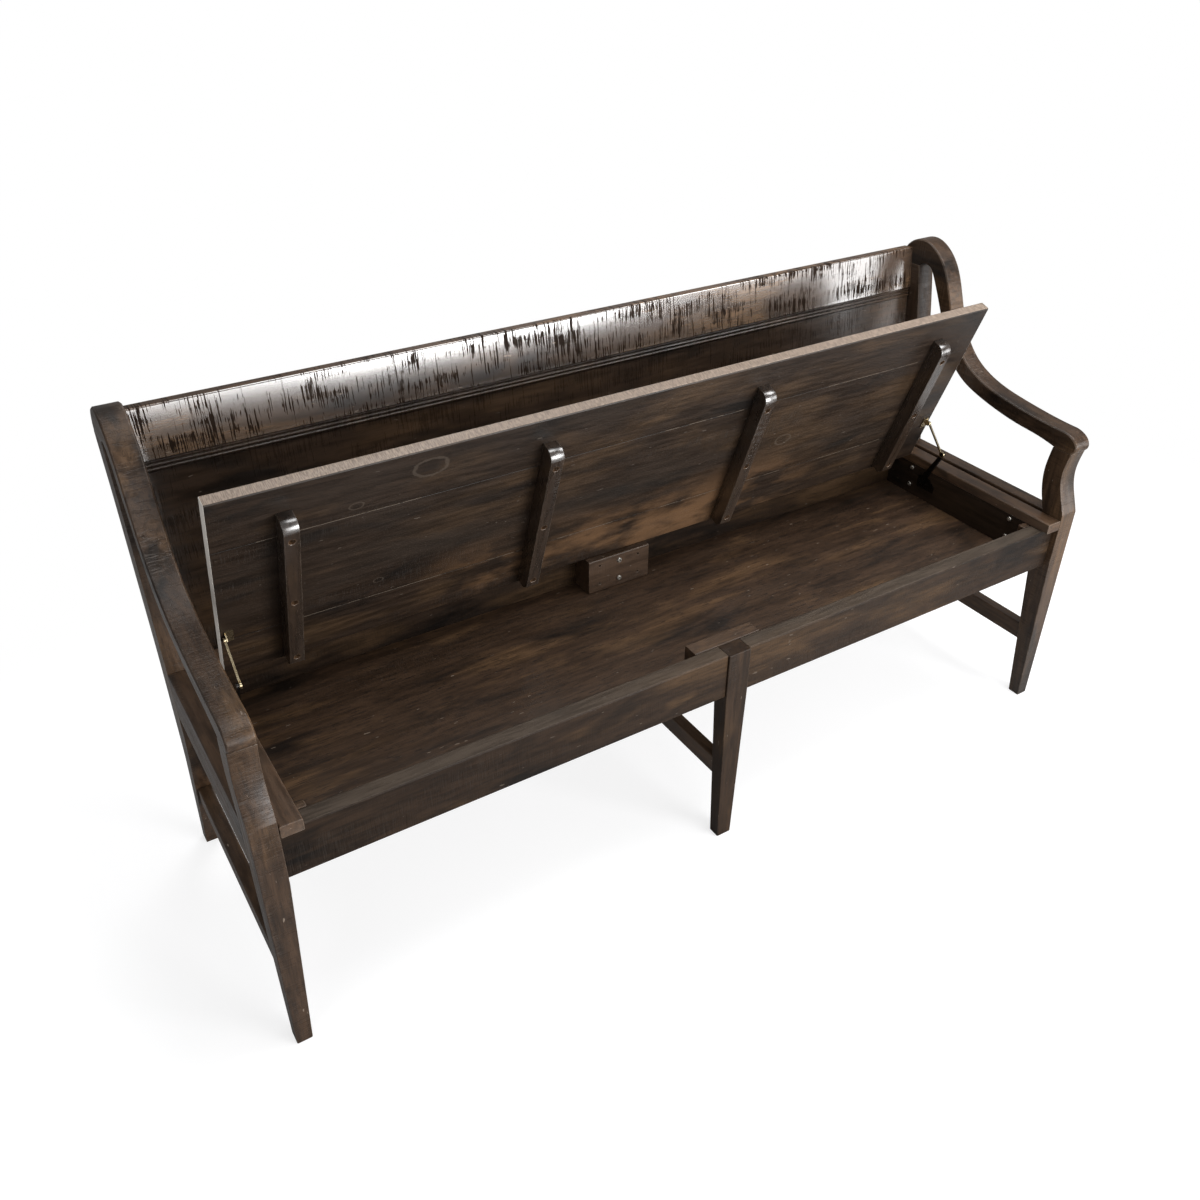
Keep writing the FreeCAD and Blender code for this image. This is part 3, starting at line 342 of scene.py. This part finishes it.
def seat_marks(tree, coordinates, moved, base):
    """Painted bounce light, joints with filler, and knots of the seat's
    boards.
    """
    part = tree.split(coordinates)
    along = part["X"]
    from_hinge = tree.less(HINGE_DEPTH, part["Y"])
    ragged = tree.noise(moved, 60.0, 3.0, 0.7)
    base = painted_bounce_patch(tree, along, from_hinge, moved, base)
    base, joints = joint_lines(tree, along, from_hinge, ragged, base)
    for x, place, size in KNOTS:
        base = knot(tree, tree.less(along, x),
                    tree.less(from_hinge, place), size, ragged, base)
    return base, joints, sawn_front_and_lit_ends(tree, along, from_hinge, moved)


def raw_bores(tree, coordinates, base):
    """Bare wood round the screw holes of the seat's cleats."""
    part = tree.split(coordinates)
    # The cleats stand half a pitch either side of one pitch from the middle.
    aside = tree.less(tree.size_of(tree.less(tree.size_of(part["X"]),
                                             CLEAT_PITCH)),
                      CLEAT_PITCH / 2)
    from_hinge = tree.less(HINGE_DEPTH, part["Y"])
    nearest = 1.0
    for row in CLEAT_SCREWS:
        nearest = tree.math("MINIMUM", nearest,
                            tree.size_of(tree.less(from_hinge, row)))
    reach = tree.reach(aside, nearest)
    return tree.mix(tree.span(reach, 0.0060, 0.0068, 0.85, 0.0), base, BORED)


def polish(tree, shader, upward, torn, amount):
    """Clear coat on the upright faces, missing where the wood is torn."""
    upright = tree.span(upward, 0.75, 0.95, amount, 0.0)
    sound = tree.span(torn, 0.0, 0.5, 1.0, 0.0)
    tree.link(tree.times(upright, sound), shader.inputs["Coat Weight"])
    shader.inputs["Coat Roughness"].default_value = 0.22
    shader.inputs["Coat IOR"].default_value = 1.5 + 1.2 * amount


def wood(name, grain, seed, tone, warmth=0.5, saw=0.35, wear=0.6, haze_and_sheen=0.1,
         gloss=0.42, pores=0.4, cracks=0.0, bump=1.0, spec=0.35, coat=0.0,
         paler_tops=0.0, on_lid=False, boards=False, bored=False):
    """Dark stained and waxed softwood with saw marks, rubbed edges and a
    painted grey sheen.
    """
    material, tree, shader, _ = new_material(name)
    coordinates = tree.node("ShaderNodeTexCoord").outputs["Object"]
    if on_lid:
        flat = tree.node("ShaderNodeMapping")
        tree.link(coordinates, flat.inputs["Vector"])
        flat.inputs["Rotation"].default_value = (LID_OPEN, 0.0, 0.0)
        coordinates = flat.outputs["Vector"]
    moved = tree.place(coordinates, (1, 1, 1), (seed, seed * 0.7, seed * 1.3))
    along = tree.place(moved, stretch(grain, 0.09, 1.0))
    rounded = tree.node("ShaderNodeBevel", samples=6)
    rounded.inputs["Radius"].default_value = ARRIS_REACH
    rounded = rounded.outputs[0]
    normal = tree.node("ShaderNodeNewGeometry").outputs["Normal"]
    upward = tree.split(normal)["Z"]

    # Colour, from the stain up to the wear.
    figure = tree.noise(along, 110.0, 6.0, 0.7, 0.4)
    rings = tree.span(figure, 0.36, 0.64, 0.66, 1.28)
    base = tree.mix(1.0, stain(tree, moved, grain, warmth), rings, "MULTIPLY")
    pore = pore_dashes(tree, moved, grain, pores)
    base = tree.mix(pore, base, DARK)
    raised, deep = saw_lines(tree, moved, grain, along, saw)
    base = tree.mix(tree.times(raised, saw), base, GREY)
    base = tree.mix(deep, base, DARK)
    # Grey haze: wax, and a painted sheen of light reflected from the floor.
    wax_and_sheen = wax_and_sheen_haze(tree, along, haze_and_sheen)
    base = tree.mix(wax_and_sheen, base, GREY)
    torn = torn_checks(tree, moved, grain, cracks)
    base = tree.mix(torn, base, DARK)
    if boards:
        base, joints, (sawn_and_lit_edges, sawn_and_highlight_colour) = seat_marks(tree, coordinates, moved,
                                                base)
    if bored:
        base = raw_bores(tree, coordinates, base)
    nick = nicks(tree, moved, grain)
    base = tree.mix(tree.times(nick, 0.7), base, WORN)
    base = tree.mix(rubbed_arris(tree, moved, rounded, normal, wear), base,
                    WORN)
    # Upward faces made paler, by this amount.
    if paler_tops:
        upper = tree.span(upward, 0.75, 0.95, 0.0, paler_tops)
        base = tree.mix(tree.times(upper, rings), base, WORN)
    base = tree.mix(1.0, base, (tone, tone, tone), "MULTIPLY")
    # Sawn front edge of the seat, and a painted highlight on its ends.
    if boards:
        base = tree.mix(sawn_and_lit_edges, base, sawn_and_highlight_colour)
    tree.link(base, shader.inputs["Base Color"])

    # Shine: duller on saw marks, glossier under the grey haze of wax and
    # painted sheen.
    rough = tree.span(figure, 0.3, 0.7, gloss - 0.06, gloss + 0.08)
    rough = tree.add(rough, tree.times(raised, 0.16))
    rough = tree.less(rough, tree.times(wax_and_sheen, 0.08))
    tree.link(rough, shader.inputs["Roughness"])
    tree.link(tree.span(tree.math("MAXIMUM", deep, torn), 0.0, 0.6, spec,
                        0.04), shader.inputs["Specular IOR Level"])
    if coat:
        polish(tree, shader, upward, torn, coat)

    # Relief of all the marks, over the soft waves of a planed board.
    relief = tree.times(figure, 0.20)
    for mark, depth in ((pore, 0.25), (deep, 0.9), (raised, -0.5),
                        (torn, 1.5), (nick, 0.6)):
        relief = tree.less(relief, tree.times(mark, depth))
    if boards:
        relief = tree.less(relief, joints)
    waves = tree.noise(along, 30.0, 2.0, 0.5)
    relief = tree.add(relief, tree.times(waves, 1.2))
    tree.link(tree.bump(relief, 0.55 * bump, RELIEF, rounded),
              shader.inputs["Normal"])
    return material


def metal(name, bright, dull, rough):
    """Metal with a spotty patina and a fine grain."""
    material, tree, shader, _ = new_material(name)
    coordinates = tree.node("ShaderNodeTexCoord").outputs["Object"]
    spots = tree.span(tree.noise(coordinates, 160.0, 4.0, 0.65),
                      0.42, 0.66, 0.0, 0.5)
    tree.link(tree.mix(spots, bright, dull), shader.inputs["Base Color"])
    shader.inputs["Metallic"].default_value = 1.0
    fine = tree.noise(coordinates, 900.0, 2.0, 0.5)
    tree.link(tree.span(fine, 0.3, 0.7, rough - 0.08, rough + 0.12),
              shader.inputs["Roughness"])
    tree.link(tree.bump(fine, 0.15, 0.0003), shader.inputs["Normal"])
    return material


def soften(piece, width):
    """Rounds the arrises of a piece, after joining its split faces."""
    weld = piece.modifiers.new("weld", "WELD")
    weld.merge_threshold = 0.00001
    flat = piece.modifiers.new("flat", "DECIMATE")
    flat.decimate_type = "DISSOLVE"
    flat.angle_limit = math.radians(0.6)
    soft = piece.modifiers.new("soft", "BEVEL")
    soft.width = width
    soft.segments = 2
    soft.limit_method = "ANGLE"
    soft.angle_limit = math.radians(38)
    soft.loop_slide = False


def dress(names, material, arris=0.0):
    """Gives pieces their finish and, where it is named, a soft arris."""
    for name in names:
        piece = NODES[name]
        piece.data.materials.clear()
        piece.data.materials.append(material)
        for polygon in piece.data.polygons:
            polygon.material_index = 0
        if arris:
            soften(piece, arris)


def both(*words):
    """Names of the left and the right piece of each kind."""
    return [side + "_" + word for word in words for side in SIDES]


def dress_end_frames():
    arm = wood("arm_wood", "y", 1.3, 0.62, saw=0.55, haze_and_sheen=0.22, gloss=0.36,
               cracks=0.2)
    dress(both("arm"), arm)
    post = wood("post_wood", "z", 2.1, 0.66, saw=0.50, haze_and_sheen=0.20, gloss=0.38,
                cracks=0.2)
    dress(both("front_post", "rear_post"), post, 0.0012)
    apron = wood("apron_wood", "y", 4.9, 0.75, saw=0.25)
    dress(both("apron", "stretcher") + ["centre_stretcher"], apron, 0.0009)
    strip = wood("strip_wood", "y", 5.6, 1.0, 0.4, 0.30, 0.8, 0.35, 0.36)
    dress(both("filler_strip") + ["rear_hinge_strip"], strip, 0.0009)


def dress_box():
    leg = wood("leg_wood", "z", 6.4, 0.35, 0.7, haze_and_sheen=0.03, gloss=0.48,
               spec=0.16)
    dress(["centre_front_leg", "centre_rear_leg"], leg, 0.0012)
    rail = wood("rail_wood", "x", 3.7, 0.29, 0.8, wear=0.8, haze_and_sheen=0.06,
                gloss=0.46, cracks=0.1, spec=0.14, paler_tops=0.55)
    dress([face + "_rail_" + side for face in ("front", "back")
           for side in SIDES], rail, 0.0009)
    boards = wood("box_floor_wood", "x", 9.3, 0.88, 0.7, 0.10, 0.3, 0.12,
                  0.48, pores=0.9)
    dress(["box_floor"], boards)
    side_wood = wood("box_side_wood", "y", 10.2, 0.28, 0.2, 0.2, 0.4, 0.05,
                     0.45)
    dress(both("box_side"), side_wood, 0.0009)
    block = wood("block_wood", "x", 12.8, 0.75, saw=0.2, wear=0.7, haze_and_sheen=0.2)
    dress(both("corner_block") + ["front_centre_block", "rear_centre_block"],
          block, 0.0009)


def dress_back():
    panel = wood("back_wood", "x", 7.7, 0.62, saw=0.75, wear=0.5, haze_and_sheen=0.12,
                 gloss=0.34, spec=0.7, cracks=0.3)
    dress(["back_panel", "reed_moulding"], panel)
    top = wood("top_board_wood", "x", 8.9, 1.05, 1.0, 0.3, 0.25, 0.10, 0.40,
               spec=0.15, cracks=1.0, bump=0.45, coat=1.0)
    dress(["back_top_board"], top)


def dress_seat():
    # Seat and cleats carry the most grey haze, a painted sheen of reflected
    # floor light; the seat also has painted bounce light.
    lid = wood("lid_wood", "x", 13.4, 0.25, 0.8, 0.25, 1.0, 0.40, 0.44,
               on_lid=True, boards=True)
    dress(["seat_lid"], lid, 0.0008)
    cleat = wood("cleat_wood", "y", 11.6, 0.30, 0.1, 0.3, 0.9, 0.7, 0.30,
                 spec=0.7, coat=0.6, on_lid=True, bored=True)
    dress(["lid_cleat_%d" % place for place in (1, 2, 3, 4)], cleat, 0.0015)


def dress_metalwork():
    brass = metal("aged_brass", (0.46, 0.34, 0.17), (0.16, 0.11, 0.06), 0.34)
    dress([place + "_hinge_" + leaf for place in ("left", "centre", "right")
           for leaf in ("fixed_leaf", "lid_leaf")] + ["hinge_pins"], brass)
    zinc = metal("dull_zinc", (0.52, 0.50, 0.46), (0.20, 0.17, 0.14), 0.36)
    dress(["cleat_screws", "frame_bolts", "front_block_bolts",
           "rear_block_bolts"], zinc)
    black = metal("black_steel", (0.040, 0.037, 0.035),
                  (0.015, 0.014, 0.013), 0.32)
    dress(both("stay_arm", "stay_base"), black)
    plated = metal("plated_brass", (0.62, 0.52, 0.34), (0.30, 0.22, 0.12),
                   0.28)
    dress(both("stay_rod", "stay_lid_plate"), plated)


def photo_camera():
    yaw, pitch, roll = (math.radians(angle) for angle in
                        (CAMERA_YAW, CAMERA_PITCH, CAMERA_ROLL))
    ahead = Vector((math.sin(yaw) * math.cos(pitch),
                    math.cos(yaw) * math.cos(pitch), -math.sin(pitch)))
    right = Vector((math.cos(yaw), -math.sin(yaw), 0.0))
    up = right.cross(ahead)
    right, up = (right * math.cos(roll) + up * math.sin(roll),
                 up * math.cos(roll) - right * math.sin(roll))
    data = bpy.data.cameras.new("photo_camera")
    data.lens = CAMERA_LENS
    data.sensor_width = SENSOR_WIDTH
    data.clip_start = 0.05
    data.clip_end = 60.0
    camera = bpy.data.objects.new("photo_camera", data)
    bpy.context.scene.collection.objects.link(camera)
    turn = Matrix((right, up, -ahead)).transposed().to_4x4()
    camera.matrix_world = Matrix.Translation(CAMERA_AT) @ turn
    bpy.context.scene.camera = camera


def seen_directly(tree):
    """One for rays from the camera, straight or through a clear piece."""
    path = tree.node("ShaderNodeLightPath")
    return tree.math("MAXIMUM", path.outputs["Is Camera Ray"],
                     path.outputs["Is Transmission Ray"])


def join_shaders(tree, factor, first, second):
    made = tree.node("ShaderNodeMixShader")
    for socket, source in zip(made.inputs, (factor, first, second)):
        tree.link(source, socket)
    return made.outputs[0]


def floor_material():
    """Pale floor: a light shadow under the bench, plain white farther out."""
    material, tree, shader, surface = new_material("pale_floor")
    shader.inputs["Base Color"].default_value = (0.42, 0.42, 0.42, 1.0)
    shader.inputs["Roughness"].default_value = 0.9
    shader.inputs["Specular IOR Level"].default_value = 0.0
    matt = tree.node("ShaderNodeBsdfDiffuse")
    matt.inputs["Color"].default_value = (0.40, 0.40, 0.405, 1.0)
    glow = tree.node("ShaderNodeEmission")
    glow.inputs["Strength"].default_value = FLOOR_GLOW
    near = tree.node("ShaderNodeAddShader")
    tree.link(matt.outputs[0], near.inputs[0])
    tree.link(glow.outputs[0], near.inputs[1])
    white = tree.node("ShaderNodeEmission")
    coordinates = tree.node("ShaderNodeTexCoord").outputs["Object"]
    away = tree.node("ShaderNodeVectorMath", operation="LENGTH")
    tree.link(tree.place(coordinates, (0.55, 1.0, 1.0)), away.inputs[0])
    seen = join_shaders(tree, tree.span(away.outputs["Value"], 0.7, 1.3),
                        near.outputs[0], white.outputs[0])
    tree.link(join_shaders(tree, seen_directly(tree), shader.outputs[0],
                           seen), surface)
    return material


def floor():
    mesh = bpy.data.meshes.new("floor")
    mesh.from_pydata([(x * FLOOR_SIZE, y * FLOOR_SIZE, 0) for x, y in
                      ((-1, -1), (1, -1), (1, 1), (-1, 1))],
                     [], [(0, 1, 2, 3)])
    ground = bpy.data.objects.new("floor", mesh)
    ground.data.materials.append(floor_material())
    bpy.context.scene.collection.objects.link(ground)


def white_world():
    """White behind the bench, and a weaker even light on it."""
    world = bpy.data.worlds.new("studio")
    bpy.context.scene.world = world
    world.use_nodes = True
    world.node_tree.nodes.clear()
    tree = Tree(world.node_tree)
    back = tree.node("ShaderNodeBackground")
    back.inputs["Color"].default_value = (1.0, 1.0, 1.0, 1.0)
    tree.link(tree.math("MAXIMUM", seen_directly(tree), AMBIENT),
              back.inputs["Strength"])
    out = tree.node("ShaderNodeOutputWorld")
    tree.link(back.outputs[0], out.inputs["Surface"])


def area_lamp(name, place, aim, width, height, watts):
    data = bpy.data.lights.new(name, "AREA")
    data.shape = "RECTANGLE"
    data.size = width
    data.size_y = height
    data.energy = watts
    lamp = bpy.data.objects.new(name, data)
    bpy.context.scene.collection.objects.link(lamp)
    lamp.location = place
    way = Vector(aim) - Vector(place)
    lamp.rotation_mode = "QUATERNION"
    lamp.rotation_quaternion = way.to_track_quat("-Z", "Y")


dress_end_frames()
dress_box()
dress_back()
dress_seat()
dress_metalwork()
photo_camera()
floor()
white_world()
for lamp in LAMPS:
    area_lamp(*lamp)
bpy.context.scene.view_settings.view_transform = "Standard"
